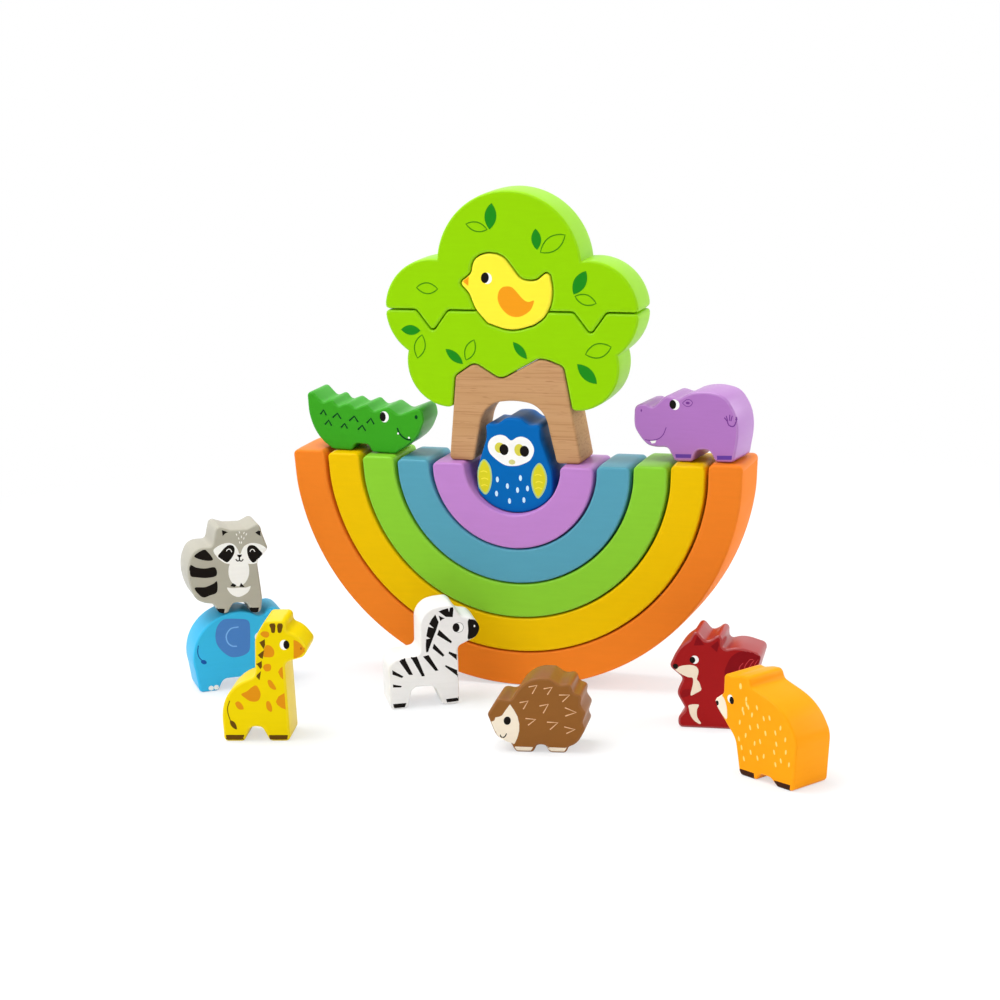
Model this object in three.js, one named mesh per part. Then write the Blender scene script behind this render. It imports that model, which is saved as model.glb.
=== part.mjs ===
// Wooden balance game: nested half rings that rock, a tree that stands in them, and animals to stack.
// Every piece is one block of board with rounded edges. Millimetres, +Z up, fronts face -Y.
import * as THREE from 'three';

// Rocker: five half rings, each lying loose in the next larger one
const WELL_RADIUS = 27.5;
const RING_WIDTH = 19.3;
const RING_CLEARANCE = 1.5;
const RING_DEPTH = 36;
const RING_END_STEP = 1.05;

// Board, edges and fits; every outline's corner radii are multiples of CORNER
const BOARD = 24;
const EDGE_RADIUS = 1.5;
const CORNER = 1;
const REST_GAP = 0.3;
const TREE_FIT = 0.4;

// Trunk: an arch that straddles the owl
const TRUNK_HEIGHT = 57.4;
const TRUNK_LEG_WIDTH = 14.2;
const TRUNK_TOP_WIDTH = 62;
const ARCH_HEIGHT = 33.7;
const ARCH_TAPER = 7.2;
const ARCH_ROUND = 15;

// Crown of the tree: round lobes about a level seam, with two V tongues
const SEAM_HEIGHT = 83.7;
const SEAM_GAP = 0.5;
const CROWN_RADIUS = 41.4;
const CROWN_RISE = 24;
const SIDE_LOBE_RADIUS = 28;
const SIDE_LOBE_SPREAD = 44.6;
const LOW_LOBE_RADIUS = 25;
const LOW_LOBE_OUT = 5;
const LOW_LOBE_DROP = 29.4;
const TONGUE_SPREAD = 45.2;
const TONGUE_WIDTH = 18.4;
const TONGUE_DEPTH = 10.8;
const SEAM_CORNER = 2.6;

// Pieces held in the tree
const CHICK_LENGTH = 52.4;
const CHICK_HEIGHT = 40.4;
const CHICK_SINK = 9.7;
const OWL_HEIGHT = 53;
const OWL_DEPTH = 28;
const OWL_WELL_GAP = 5.6;
const ARCH_GAP = 2.1;

// Animals: overall length and height of each outline
const CROCODILE_LENGTH = 68.5;
const CROCODILE_HEIGHT = 33;
const CROCODILE_INSET = 1.2;
const CROCODILE_TURN = 0;
const HIPPO_LENGTH = 57;
const HIPPO_HEIGHT = 38;
const HIPPO_INSET = 4.4;
const HIPPO_TURN = -8;
const ELEPHANT_LENGTH = 56;
const ELEPHANT_HEIGHT = 44.2;
const ELEPHANT_BACK_RADIUS = 25.5;
const RACCOON_LENGTH = 44.5;
const RACCOON_HEIGHT = 51.5;
const RACCOON_LEAN = 5;
const GIRAFFE_LENGTH = 47;
const GIRAFFE_HEIGHT = 65.5;
const ZEBRA_LENGTH = 51;
const ZEBRA_HEIGHT = 57.8;
const HEDGEHOG_LENGTH = 51;
const HEDGEHOG_HEIGHT = 39.8;
const SQUIRREL_LENGTH = 48.5;
const SQUIRREL_HEIGHT = 53.5;
const BEAR_LENGTH = 57;
const BEAR_HEIGHT = 51.6;

// Smoothness: largest turn between two facets of a corner and of a long arc, in degrees, steps round an
// edge, and the shortest facet that the rounded edge leaves room for
const CORNER_STEP = 36;
const ARC_STEP = 10;
const EDGE_STEPS = 2;
const SHORTEST_FACET = EDGE_RADIUS / 3;

// Where each animal stands on the table, from the rocker's middle: front left end, and its turn in degrees
const ELEPHANT_PLACE = { x: -173, y: -54, turn: 36 };
const GIRAFFE_PLACE = { x: -121, y: -128.3, turn: 13.5 };
const ZEBRA_PLACE = { x: -54.5, y: -58.3, turn: 29.5 };
const HEDGEHOG_PLACE = { x: 21, y: -111.9, turn: 8.5 };
const SQUIRREL_PLACE = { x: 101.8, y: -52.4, turn: 4.5 };
const BEAR_PLACE = { x: 139.9, y: -108.7, turn: -32 };

// Animal outlines: percent of length, percent of height, corner radius; clockwise from the left foot
const CROCODILE_OUTLINE = [
  [20, 0, 2.5], [9.5, 15, 12], [0, 46, 18], [-3, 108, 2.4], [11.5, 79, 2.5], [19.5, 87, 2.2], [24.5, 74, 2.5],
  [33.5, 82, 2.2], [40, 73, 2.5], [49.5, 82, 2.2], [56, 70, 2.5], [68, 80, 2.4], [78, 67, 4],
  [97, 84, 3], [100, 60, 6], [94, 31, 10], [84.5, 14, 12], [77.5, 5, 4], [75.5, 0, 2.5], [54.5, 0, 2.2],
  [51.5, 12.5, 2.5], [39.5, 12.5, 2.5], [37, 0, 2.2],
];
const HIPPO_OUTLINE = [
  [40, 0, 2.4], [33.5, 20, 3], [12.5, 20.5, 9], [0, 48, 9], [2, 81, 5], [14, 83, 4], [20, 77, 3],
  [36, 95.5, 4], [47.5, 90, 4], [63, 100.5, 12], [97.5, 99, 14], [107.5, 53, 15], [100, 0, 2.6],
  [81.5, 0, 2.2], [76, 17, 3.2], [62.5, 17, 3.2], [58, 0, 2.2],
];
const ELEPHANT_HEAD = [
  [74, 92.5, 3], [81, 101, 4], [90, 99, 8], [100, 82, 8], [100, 55, 12], [99, 20, 2.5], [89.5, 20, 2.5],
  [86, 47, 3], [79, 44, 3], [76, 0, 2.5], [56, 0, 2.2], [52, 14.5, 4], [29, 14.5, 4], [23.5, 0, 2.2],
  [4.5, 0, 2.5],
];
const RACCOON_OUTLINE = [
  [42, 0, 2.2], [34.5, 10.5, 2.5], [11, 13.5, 10], [-1.5, 47, 12], [6.5, 73, 8], [30.5, 74, 2.5],
  [34.5, 97, 2.5], [52, 92.5, 3], [73, 93, 3], [89, 100.5, 3], [93, 88.5, 2.5], [101.5, 71, 2.6],
  [88, 57, 4], [96, 17, 8], [95, 0, 2.4], [82.5, 0, 2.2], [76.5, 11.5, 3], [58.5, 11.5, 3], [52.5, 0, 2.2],
];
const GIRAFFE_OUTLINE = [
  [0, 0, 2.5], [0.5, 32, 12], [15, 46.5, 12], [39.5, 54, 4], [41.5, 85.5, 8], [53.5, 100, 2.6],
  [77, 100, 2.6], [77.5, 91.5, 2.4], [89, 87.5, 7], [101, 76.5, 4.5], [95, 70, 4], [73.5, 65.5, 4],
  [75.5, 0, 2.5], [52.5, 0, 2.2], [44, 12, 3], [31, 12, 3], [23, 0, 2.2],
];
const ZEBRA_OUTLINE = [
  [0.5, 0, 2.5], [0.5, 48, 7], [35.5, 51, 3.5], [36.5, 86, 10], [48, 96, 12], [72, 97.5, 4],
  [80.5, 84.5, 5], [93, 83.5, 6], [102, 73, 5], [96, 64, 3.5], [76, 56.5, 3], [75.5, 0, 2.5], [57.5, 0, 2.2],
  [49, 20, 4], [25, 20, 4], [20, 0, 2.2],
];
const HEDGEHOG_OUTLINE = [
  [27.5, 0, 2.5], [23, 11, 2], [8.5, 18.5, 9], [-0.5, 50, 2.2], [11, 71.5, 3], [24, 69, 3],
  [36.5, 92, 10], [50, 100, 8], [64, 100, 2.5], [74, 91, 4], [85, 93, 2.2], [87.5, 81, 3],
  [96.5, 77, 2.2], [94.5, 65, 3], [100, 54, 2.2], [96, 40, 3], [99, 32, 2.2], [90, 13, 5],
  [81.5, 8, 2], [78.5, 0, 2.2], [62, 0, 2.2], [58, 10, 2], [49, 10, 2], [45.5, 0, 2.2],
];
const SQUIRREL_OUTLINE = [
  [7.5, 0, 2.5], [8, 10.5, 3], [16.5, 18.5, 2.5], [6.5, 35, 5], [14, 50.5, 2.2], [-1, 62, 2.6],
  [9.5, 81, 10], [22, 90, 3], [28.5, 101, 2.1], [38.5, 89.5, 2.5], [43.5, 89.8, 4], [58, 99, 2.2],
  [57.5, 80.5, 2.2], [74, 84, 8], [100, 77.5, 3], [91, 51.5, 10], [76.5, 32, 6], [79.5, 0, 2.5],
];
const BEAR_OUTLINE = [
  [30, 0, 2.5], [25, 35, 10], [3, 61, 4], [-0.5, 68, 2.6], [11.5, 77, 3], [13, 98, 3.2],
  [22, 96.5, 3], [32.5, 99.5, 6], [43, 100.5, 3], [46, 91, 3], [84, 76.5, 14], [100.5, 52, 12],
  [95, 0, 2.8], [76, 0, 2.2], [67.5, 7, 4], [55.5, 7, 3], [50.5, 0, 2.2],
];
const CHICK_OUTLINE = [
  [0, 61, 2.2], [13, 74, 4], [16, 94, 10], [32, 103, 14], [49, 98, 10], [68, 65, 7], [84, 65, 5],
  [98.5, 80.5, 2.3], [102, 43, 14], [92, 14, 15], [70, -1.5, 18], [40, -1.5, 18], [20, 15, 15], [10, 47, 6],
];

const degrees = THREE.MathUtils.degToRad;
const vector = (x, y) => new THREE.Vector2(x, y);

// Corners of an outline in mm, from percents of a length and a height
function sized(outline, length, height) {
  return outline.map(([x, y, radius]) => corner(x * length / 100, y * height / 100, radius));
}

function corner(x, y, radius = 0) {
  return { at: vector(x, y), radius: radius * CORNER };
}

// Corners on the other side of the middle line, in the order that carries on round an outline
function mirrored(corners) {
  return corners.map(({ at, radius }) => ({ at: vector(-at.x, at.y), radius })).reverse();
}

// Points of a closed outline whose corners are rounded, each fillet limited by the walls beside it
function rounded(corners) {
  const points = [];
  corners.forEach(({ at, radius }, index) => {
    const before = corners.at(index - 1).at.clone().sub(at);
    const after = corners[(index + 1) % corners.length].at.clone().sub(at);
    const room = Math.min(before.length(), after.length()) / 2;
    before.normalize();
    after.normalize();
    const half = Math.acos(THREE.MathUtils.clamp(before.dot(after), -1, 1)) / 2;
    const reach = Math.min(radius / Math.tan(half), room);
    if (radius === 0 || Math.PI / 2 - half < degrees(1)) {
      points.push(at.clone());
      return;
    }
    const fillet = reach * Math.tan(half);
    const inward = before.clone().add(after).normalize();
    const centre = at.clone().addScaledVector(inward, fillet / Math.sin(half));
    const start = at.clone().addScaledVector(before, reach).sub(centre);
    const sweep = (Math.PI - 2 * half) * -Math.sign(before.cross(after));
    const steps = Math.max(1, Math.ceil(Math.abs(sweep) / degrees(CORNER_STEP)));
    for (let step = 0; step <= steps; step += 1) {
      points.push(start.clone().rotateAround(vector(0, 0), sweep * step / steps).add(centre));
    }
  });
  return points.filter((point, index) => point.distanceTo(points.at(index - 1)) > SHORTEST_FACET);
}

// The same corners with every wall moved outwards by a gap; the corners run clockwise
function grown(corners, gap) {
  return corners.map(({ at, radius }, index) => {
    const before = at.clone().sub(corners.at(index - 1).at).normalize();
    const after = corners[(index + 1) % corners.length].at.clone().sub(at).normalize();
    const outward = vector(-before.y - after.y, before.x + after.x);
    const moved = at.clone().addScaledVector(outward, gap / (1 + before.dot(after)));
    const bulges = before.cross(after) < 0;
    return { at: moved, radius: bulges ? radius + gap : Math.max(radius - gap, 0) };
  });
}

// Sharp corners along an arc about a centre, from one angle to another, in degrees
function arc(centre, radius, from, to) {
  const steps = Math.max(2, Math.ceil(Math.abs(to - from) / ARC_STEP));
  return Array.from({ length: steps + 1 }, (_, step) => {
    const angle = degrees(from + (to - from) * step / steps);
    return corner(centre.x + radius * Math.cos(angle), centre.y + radius * Math.sin(angle));
  });
}

// The stretch of a closed outline on one side of a level line: its end facets run on straight to the
// line, so that no facet there is shorter than the edge rounding needs
const LEVEL_CLEARANCE = EDGE_RADIUS * 1.6;

function stretch(points, level, side) {
  const clear = (point) => (point.y - level) * side > LEVEL_CLEARANCE;
  const first = points.findIndex((point, index) => clear(point) && !clear(points.at(index - 1)));
  const turned = [...points.slice(first), ...points.slice(0, first)];
  const last = turned.findIndex((point) => !clear(point));
  const run = turned.slice(0, last);
  const onLine = (a, b) => a.clone().lerp(b, (level - a.y) / (b.y - a.y));
  const ends = [onLine(turned.at(-1), run[0]), onLine(turned[last], run.at(-1))];
  return [ends[0], ...run, ends[1]].map((point) => corner(point.x, point.y));
}

// Angle, in degrees, at which one lobe's circle meets another's, on the given side of the line between them
function meeting(centre, radius, other, otherRadius, side) {
  const apart = other.clone().sub(centre);
  const along = (radius ** 2 - otherRadius ** 2 + apart.lengthSq()) / (2 * apart.length());
  return THREE.MathUtils.radToDeg(apart.angle() + side * Math.acos(along / radius));
}

function finish(color, roughness = 0.45) {
  return new THREE.MeshStandardMaterial({ color, roughness, metalness: 0 });
}

// A block cut from board: its front face lies on y = 0, its outline stands in the XZ plane
function block(name, points, depth, material) {
  const geometry = new THREE.ExtrudeGeometry(new THREE.Shape(points), {
    depth: depth - 2 * EDGE_RADIUS,
    bevelThickness: EDGE_RADIUS,
    bevelSize: EDGE_RADIUS,
    bevelOffset: -EDGE_RADIUS,
    bevelSegments: EDGE_STEPS,
  });
  geometry.rotateX(Math.PI / 2);
  geometry.translate(0, depth - EDGE_RADIUS, 0);
  const mesh = new THREE.Mesh(geometry, material);
  mesh.name = name;
  return mesh;
}

// Rocker
const RING_PITCH = RING_WIDTH + RING_CLEARANCE;
const RING_DROP = RING_CLEARANCE - REST_GAP;
const RING_CORNER = 3;
const RING_COLOURS = {
  orange: 0xf08228,
  yellow: 0xebc300,
  green: 0x87c832,
  blue: 0x559baf,
  purple: 0xbe82c8,
};
const RING_COUNT = Object.keys(RING_COLOURS).length;
const ROCKER_RADIUS = WELL_RADIUS + RING_COUNT * RING_PITCH - RING_CLEARANCE;
const RINGS = Object.entries(RING_COLOURS).map(([name, colour], index) => ({
  name: `${name}_arc`,
  colour,
  outer: ROCKER_RADIUS - index * RING_PITCH,
  inner: ROCKER_RADIUS - index * RING_PITCH - RING_WIDTH,
  middle: ROCKER_RADIUS - index * RING_DROP,
  top: ROCKER_RADIUS - index * RING_END_STEP,
}));
const WELL = RINGS.at(-1);

function halfRing({ name, colour, outer, inner, middle, top }) {
  const centre = vector(0, middle);
  const ends = [outer, inner, -inner, -outer].map((x) => corner(x, top, RING_CORNER));
  const rim = arc(centre, outer, 0, -180).slice(1, -1);
  const well = arc(centre, inner, -180, 0).slice(1, -1);
  const outline = rounded([ends[0], ...rim, ends[3], ends[2], ...well, ends[1]]);
  return block(name, outline, RING_DEPTH, finish(colour));
}

// Owl: its base follows the well of the smallest ring, its sides stay clear of it
const OWL_HALF = WELL_RADIUS - OWL_WELL_GAP;
const OWL_SEAT_SPAN = 72;
const OWL_FLANKS = [[1, 0.385, 8], [0.99, 0.87, 14]];
const OWL_HEAD = [[0.7, 0.79, 12], [0.72, 0.94, 2.2], [0.42, 0.925, 5], [0.18, 1, 6]];

function owlOutline() {
  const radius = WELL_RADIUS - REST_GAP;
  const seat = arc(vector(0, radius), radius, OWL_SEAT_SPAN / 2 - 90, -OWL_SEAT_SPAN / 2 - 90);
  const left = [
    ...OWL_FLANKS.map(([x, y, fillet]) => corner(-x * OWL_HALF, y * WELL_RADIUS, fillet)),
    ...OWL_HEAD.map(([x, y, fillet]) => corner(-x * OWL_HALF, y * OWL_HEIGHT, fillet)),
  ];
  return rounded([...left, ...mirrored(left), ...seat]);
}

// Trunk: two legs, a round arch between them and a wavy top
function trunkCorners() {
  const archHalf = OWL_HALF + ARCH_GAP;
  const footHalf = archHalf + TRUNK_LEG_WIDTH;
  const topHalf = TRUNK_TOP_WIDTH / 2;
  const archTop = archHalf - ARCH_TAPER;
  return [
    corner(-footHalf, 0, 2.2),
    corner(-topHalf * 1.06, TRUNK_HEIGHT * 0.82, 3.5),
    corner(-topHalf * 0.7, TRUNK_HEIGHT * 0.95, 5),
    corner(-topHalf * 0.22, TRUNK_HEIGHT * 0.79, 7),
    corner(topHalf * 0.53, TRUNK_HEIGHT * 1.01, 9),
    corner(topHalf * 0.94, TRUNK_HEIGHT * 0.93, 4),
    corner(footHalf, 0, 2.2),
    corner(archHalf, 0, 2.2),
    corner(archTop, ARCH_HEIGHT, ARCH_ROUND),
    corner(-archTop, ARCH_HEIGHT, ARCH_ROUND),
    corner(-archHalf, 0, 2.2),
  ];
}

// Crown: heights are from the trunk's foot, and both halves follow the same lobes and the same seam
const CHICK_LEFT = -CHICK_LENGTH * 0.546;
const TONGUE_TIP = TONGUE_WIDTH / 9;
const SIDE_LOBE = vector(SIDE_LOBE_SPREAD, SEAM_HEIGHT);
const LOW_LOBE = vector(TRUNK_TOP_WIDTH / 2 + LOW_LOBE_OUT, SEAM_HEIGHT - LOW_LOBE_DROP);
const LOW_LOBE_END = -80;
const CROWN = vector(0, SEAM_HEIGHT + CROWN_RISE);

function chickCorners() {
  const place = vector(CHICK_LEFT, SEAM_HEIGHT - CHICK_SINK);
  const corners = sized(CHICK_OUTLINE, CHICK_LENGTH, CHICK_HEIGHT);
  return corners.map(({ at, radius }) => ({ at: at.add(place), radius }));
}

function tongue(middle, level) {
  return [
    corner(middle - TONGUE_WIDTH / 2, level, 3),
    corner(middle - TONGUE_TIP / 2, level - TONGUE_DEPTH, 2),
    corner(middle + TONGUE_TIP / 2, level - TONGUE_DEPTH, 2),
    corner(middle + TONGUE_WIDTH / 2, level, 3),
  ];
}

function upperFoliageOutline() {
  const level = SEAM_HEIGHT;
  const valley = meeting(SIDE_LOBE, SIDE_LOBE_RADIUS, CROWN, CROWN_RADIUS, -1);
  const crownValley = meeting(CROWN, CROWN_RADIUS, SIDE_LOBE, SIDE_LOBE_RADIUS, 1) - 360;
  const side = arc(SIDE_LOBE, SIDE_LOBE_RADIUS, valley, 0);
  side.at(-1).radius = SEAM_CORNER * CORNER;
  const top = arc(CROWN, CROWN_RADIUS, 180 - crownValley, crownValley);
  const pocket = stretch(rounded(grown(chickCorners(), TREE_FIT)), level, 1);
  const seam = [...tongue(-TONGUE_SPREAD, level), ...pocket, ...tongue(TONGUE_SPREAD, level)];
  return rounded([...mirrored(side), ...top.slice(1, -1), ...side, ...seam.reverse()]);
}

function lowerFoliageOutline() {
  const level = SEAM_HEIGHT - SEAM_GAP;
  const valley = meeting(SIDE_LOBE, SIDE_LOBE_RADIUS, LOW_LOBE, LOW_LOBE_RADIUS, 1) - 360;
  const lowValley = meeting(LOW_LOBE, LOW_LOBE_RADIUS, SIDE_LOBE, SIDE_LOBE_RADIUS, -1);
  const below = THREE.MathUtils.radToDeg(Math.asin(SEAM_GAP / SIDE_LOBE_RADIUS));
  const side = arc(SIDE_LOBE, SIDE_LOBE_RADIUS, -below, valley);
  side[0].radius = SEAM_CORNER * CORNER;
  const low = arc(LOW_LOBE, LOW_LOBE_RADIUS, lowValley, LOW_LOBE_END);
  const flank = [...side, ...low.slice(1)];
  const foot = LOW_LOBE.y - LOW_LOBE_RADIUS;
  const notch = stretch(rounded(grown(trunkCorners(), TREE_FIT)), foot, 1);
  notch[0].radius = SEAM_CORNER * CORNER;
  notch.at(-1).radius = SEAM_CORNER * CORNER;
  const bowl = stretch(rounded(grown(chickCorners(), TREE_FIT)), level, -1).reverse();
  const seam = [...tongue(-TONGUE_SPREAD, level), ...bowl, ...tongue(TONGUE_SPREAD, level)];
  return rounded([...seam, ...flank, ...notch.reverse(), ...mirrored(flank)]);
}

// How a flat-footed animal settles on the ring ends: the highest line over its two supports
function settle(feet, side) {
  const supports = [];
  feet.forEach(([left, right]) => RINGS.forEach(({ inner, outer, top }) => {
    const [near, far] = side < 0 ? [-outer, -inner] : [inner, outer];
    const [start, end] = [Math.max(left, near), Math.min(right, far)];
    if (start < end) supports.push(vector(start, top), vector(end, top));
  }));
  const middle = (feet[0][0] + feet.at(-1)[1]) / 2;
  const lefts = supports.filter(({ x }) => x < middle);
  const rights = supports.filter(({ x }) => x > middle);
  let rest = { height: -Infinity, slope: 0 };
  lefts.forEach((a) => rights.forEach((b) => {
    const slope = (b.y - a.y) / (b.x - a.x);
    const height = a.y + slope * (middle - a.x);
    if (height > rest.height) rest = { height, slope };
  }));
  return { middle, height: rest.height + REST_GAP, angle: Math.atan(rest.slope) };
}

// The flat stretches along the bottom of an outline, as pairs of left and right ends
function footprint(corners) {
  const ends = corners.filter(({ at }) => at.y === 0).map(({ at }) => at.x).sort((a, b) => a - b);
  return [[ends[0], ends[1]], [ends[2], ends[3]]];
}

// An animal that stands on the ring ends with its foot line turned about the upright, then tilted to rest
function onRings(name, corners, left, turn, side, material) {
  const spread = Math.abs(Math.sin(degrees(turn))) * BOARD / 2;
  const feet = footprint(corners).map(([start, end]) => [start + left - spread, end + left + spread]);
  const { middle, height, angle } = settle(feet, side);
  const mesh = block(name, rounded(corners), BOARD, material);
  mesh.geometry.translate(left - middle, -BOARD / 2, 0);
  mesh.rotation.set(0, -angle, degrees(turn), 'YXZ');
  mesh.position.set(middle, RING_DEPTH / 2, height);
  return mesh;
}

function onTable(place, ...meshes) {
  const stand = new THREE.Group();
  stand.position.set(place.x, place.y, 0);
  stand.rotation.z = degrees(place.turn);
  stand.add(...meshes);
  return stand;
}

// Elephant: rump and back are one round curve, then the head, trunk and legs
const ELEPHANT_RUMP_ANGLE = 195;
const ELEPHANT_NECK_ANGLE = 60;

function elephant(material) {
  const centre = vector(ELEPHANT_BACK_RADIUS, ELEPHANT_HEIGHT - ELEPHANT_BACK_RADIUS);
  const back = arc(centre, ELEPHANT_BACK_RADIUS, ELEPHANT_RUMP_ANGLE, ELEPHANT_NECK_ANGLE);
  const corners = [...back, ...sized(ELEPHANT_HEAD, ELEPHANT_LENGTH, ELEPHANT_HEIGHT)];
  return block('elephant', rounded(corners), BOARD, material);
}

// Raccoon: its feet straddle the crest of the elephant's back
function raccoon(material) {
  const corners = sized(RACCOON_OUTLINE, RACCOON_LENGTH, RACCOON_HEIGHT);
  const [hind, fore] = footprint(corners);
  const middle = (hind[1] + fore[0]) / 2;
  const straddle = (fore[0] - hind[1]) / 2;
  const mesh = block('raccoon', rounded(corners), BOARD, material);
  mesh.geometry.translate(-middle, 0, Math.sqrt((ELEPHANT_BACK_RADIUS + REST_GAP) ** 2 - straddle ** 2));
  mesh.position.set(ELEPHANT_BACK_RADIUS, 0, ELEPHANT_HEIGHT - ELEPHANT_BACK_RADIUS);
  mesh.rotation.y = degrees(RACCOON_LEAN);
  return mesh;
}

function animal(name, outline, length, height, color) {
  return block(name, rounded(sized(outline, length, height)), BOARD, finish(color));
}

// Rocker with the tree and the animals that stand on it
const rocker = new THREE.Group();
rocker.add(...RINGS.map(halfRing));

const owl = block('owl', owlOutline(), OWL_DEPTH, finish(0x0064b4));
owl.position.set(0, (RING_DEPTH - OWL_DEPTH) / 2, WELL.middle - WELL_RADIUS + REST_GAP);
rocker.add(owl);

const tree = new THREE.Group();
tree.position.set(0, (RING_DEPTH - BOARD) / 2, WELL.top + REST_GAP);
tree.add(block('trunk', rounded(trunkCorners()), BOARD, finish(0xcda073, 0.6)));
tree.add(block('lower_foliage', lowerFoliageOutline(), BOARD, finish(0x92d40b)));
tree.add(block('upper_foliage', upperFoliageOutline(), BOARD, finish(0x92d40b)));
tree.add(block('chick', rounded(chickCorners()), BOARD, finish(0xffeb32)));
rocker.add(tree);

const crocodileCorners = sized(CROCODILE_OUTLINE, CROCODILE_LENGTH, CROCODILE_HEIGHT);
const crocodileLeft = CROCODILE_INSET - RINGS[1].outer - footprint(crocodileCorners)[0][0];
rocker.add(onRings('crocodile', crocodileCorners, crocodileLeft, CROCODILE_TURN, -1, finish(0x3ca523)));

const hippoCorners = sized(HIPPO_OUTLINE, HIPPO_LENGTH, HIPPO_HEIGHT);
const hippoLeft = RINGS[0].outer - HIPPO_INSET - footprint(hippoCorners)[1][1];
rocker.add(onRings('hippo', hippoCorners, hippoLeft, HIPPO_TURN, 1, finish(0xac73b9)));

// Animals on the table
const giraffe = animal('giraffe', GIRAFFE_OUTLINE, GIRAFFE_LENGTH, GIRAFFE_HEIGHT, 0xf0d700);
const zebra = animal('zebra', ZEBRA_OUTLINE, ZEBRA_LENGTH, ZEBRA_HEIGHT, 0xf2f2f0);
const hedgehog = animal('hedgehog', HEDGEHOG_OUTLINE, HEDGEHOG_LENGTH, HEDGEHOG_HEIGHT, 0x8c5a28);
const squirrel = animal('squirrel', SQUIRREL_OUTLINE, SQUIRREL_LENGTH, SQUIRREL_HEIGHT, 0xa52328);
const bear = animal('bear', BEAR_OUTLINE, BEAR_LENGTH, BEAR_HEIGHT, 0xffa51e);

const set = new THREE.Group();
set.add(rocker);
set.add(onTable(ELEPHANT_PLACE, elephant(finish(0x37b4e1)), raccoon(finish(0xafaa9b))));
set.add(onTable(GIRAFFE_PLACE, giraffe));
set.add(onTable(ZEBRA_PLACE, zebra));
set.add(onTable(HEDGEHOG_PLACE, hedgehog));
set.add(onTable(SQUIRREL_PLACE, squirrel));
set.add(onTable(BEAR_PLACE, bear));

// The middle of the footprint is the origin
set.updateMatrixWorld(true);
const middle = new THREE.Box3().setFromObject(set, true).getCenter(new THREE.Vector3());
set.position.set(-middle.x, -middle.y, 0);

export default set;
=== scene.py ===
import math

import bmesh
import bpy
from mathutils import Matrix, Vector
from mathutils.geometry import delaunay_2d_cdt


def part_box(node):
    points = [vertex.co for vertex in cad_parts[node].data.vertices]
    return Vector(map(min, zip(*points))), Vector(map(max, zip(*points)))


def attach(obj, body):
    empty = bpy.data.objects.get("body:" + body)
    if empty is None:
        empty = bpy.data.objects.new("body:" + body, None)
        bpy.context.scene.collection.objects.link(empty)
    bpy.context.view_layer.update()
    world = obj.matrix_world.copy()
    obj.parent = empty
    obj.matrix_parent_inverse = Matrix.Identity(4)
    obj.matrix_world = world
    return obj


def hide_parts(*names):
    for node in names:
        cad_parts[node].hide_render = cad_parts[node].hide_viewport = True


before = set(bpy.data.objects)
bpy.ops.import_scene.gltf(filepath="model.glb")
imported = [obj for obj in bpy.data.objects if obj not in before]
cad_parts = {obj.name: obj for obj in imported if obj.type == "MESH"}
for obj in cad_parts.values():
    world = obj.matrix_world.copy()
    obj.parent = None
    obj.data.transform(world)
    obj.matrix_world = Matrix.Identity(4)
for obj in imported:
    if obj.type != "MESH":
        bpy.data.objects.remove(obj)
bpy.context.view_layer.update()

MM = 0.001

# Cut blocks, in mm: rounded edge and its steps, flat border beside it, spacing of points along an outline;
# sharper corners than this stay, and a side this much longer than its neighbour is straight
EDGE_ROUND = 1.2
EDGE_STEPS = 5
EDGE_BORDER = 0.05
OUTLINE_STEP = 0.8
KEPT_CORNER = math.radians(50)
STRAIGHT_RATIO = 2.2

# Reading a solid, in mm: the share of the depth that a straight wall spans, and how far it may lean
WALL_SPAN = 0.7
WALL_LEAN = 0.03

# Joining points, in mm: points taken as one, slivers and doubles that are dropped, and the cutter's
# tolerance; the limit keeps a sharp corner from moving too far
MERGED = 0.004
SLIVER = 0.002
CUT_TOLERANCE = 0.0005
MITRE_LIMIT = 0.3

# Fits, in mm: how far sanding eases a wall beside either face, over what depth and in how many steps, and
# how far the wall fills its gap at mid depth
RING_EASE = 0.25
FOLIAGE_FIT = {"ease": 0.17, "fill": 0.08}
TRUNK_FIT = {"fill": 0.15}
CHICK_FIT = {"ease": 0.2, "fill": 0.05}
EASED_DEPTH = 8
EASED_STEPS = 3

# Gaps between rings at the foot and at the ends, what is left of them at mid depth, the most that a wall
# fills, the fill at the ends and how far down those reach, in mm
FOOT_GAP = 0.3
END_GAP = 1.5
GAP_LEFT = 0.08
MOST_FILL = 0.3
END_FILL = 0.1
END_BAND = 3

# Gloss of the paint on a rubbed wall, on a flat face, round a thinly painted edge, round most edges and
# where it is thickest, and gloss of the oiled wood
WALL_GLOSS = 0.03
FACE_GLOSS = 0.04
THIN_GLOSS = 0.06
EDGE_GLOSS = 0.16
THICK_GLOSS = 0.7
WOOD_GLOSS = 0.06

# Roughness of the paint round an edge and elsewhere, and how far its patches lie below and above that
EDGE_ROUGHNESS = 0.34
FACE_ROUGHNESS = 0.5
PATCH_ROUGHNESS = (-0.04, 0.06)

# Tone of the streaks in the paint, depth of the pores and of the wood's lines, in m, and their strength
STREAK_TONES = (0.985, 1.015)
PORE_DEPTH = 0.0003
PORE_STRENGTH = 0.05
LINE_STRENGTH = 0.12

# Grain: scale per m, detail, and how far it is drawn in along x, y and z
STREAKS = (70, 3, (1, 1, 9))
PATCHES = (45, 2, (1, 1, 1))
PORES = (420, 2, (1, 1, 6))
WOOD_BANDS = (26, 2, (0.35, 1, 3.2))
WOOD_LINES = (260, 4, (0.1, 1, 3.6))
WOOD_FLECKS = (520, 1, (0.22, 0.6, 2.2))

# Wood: how much of the lines' and the flecks' colour shows, from where to where in their noise that
# rises, and the roughness between the lines and on them
LINE_LEVELS = (0, 0.55, 0.5, 0.72)
FLECK_LEVELS = (0, 0.5, 0.66, 0.76)
WOOD_ROUGHNESS = (0.48, 0.62)

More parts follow.
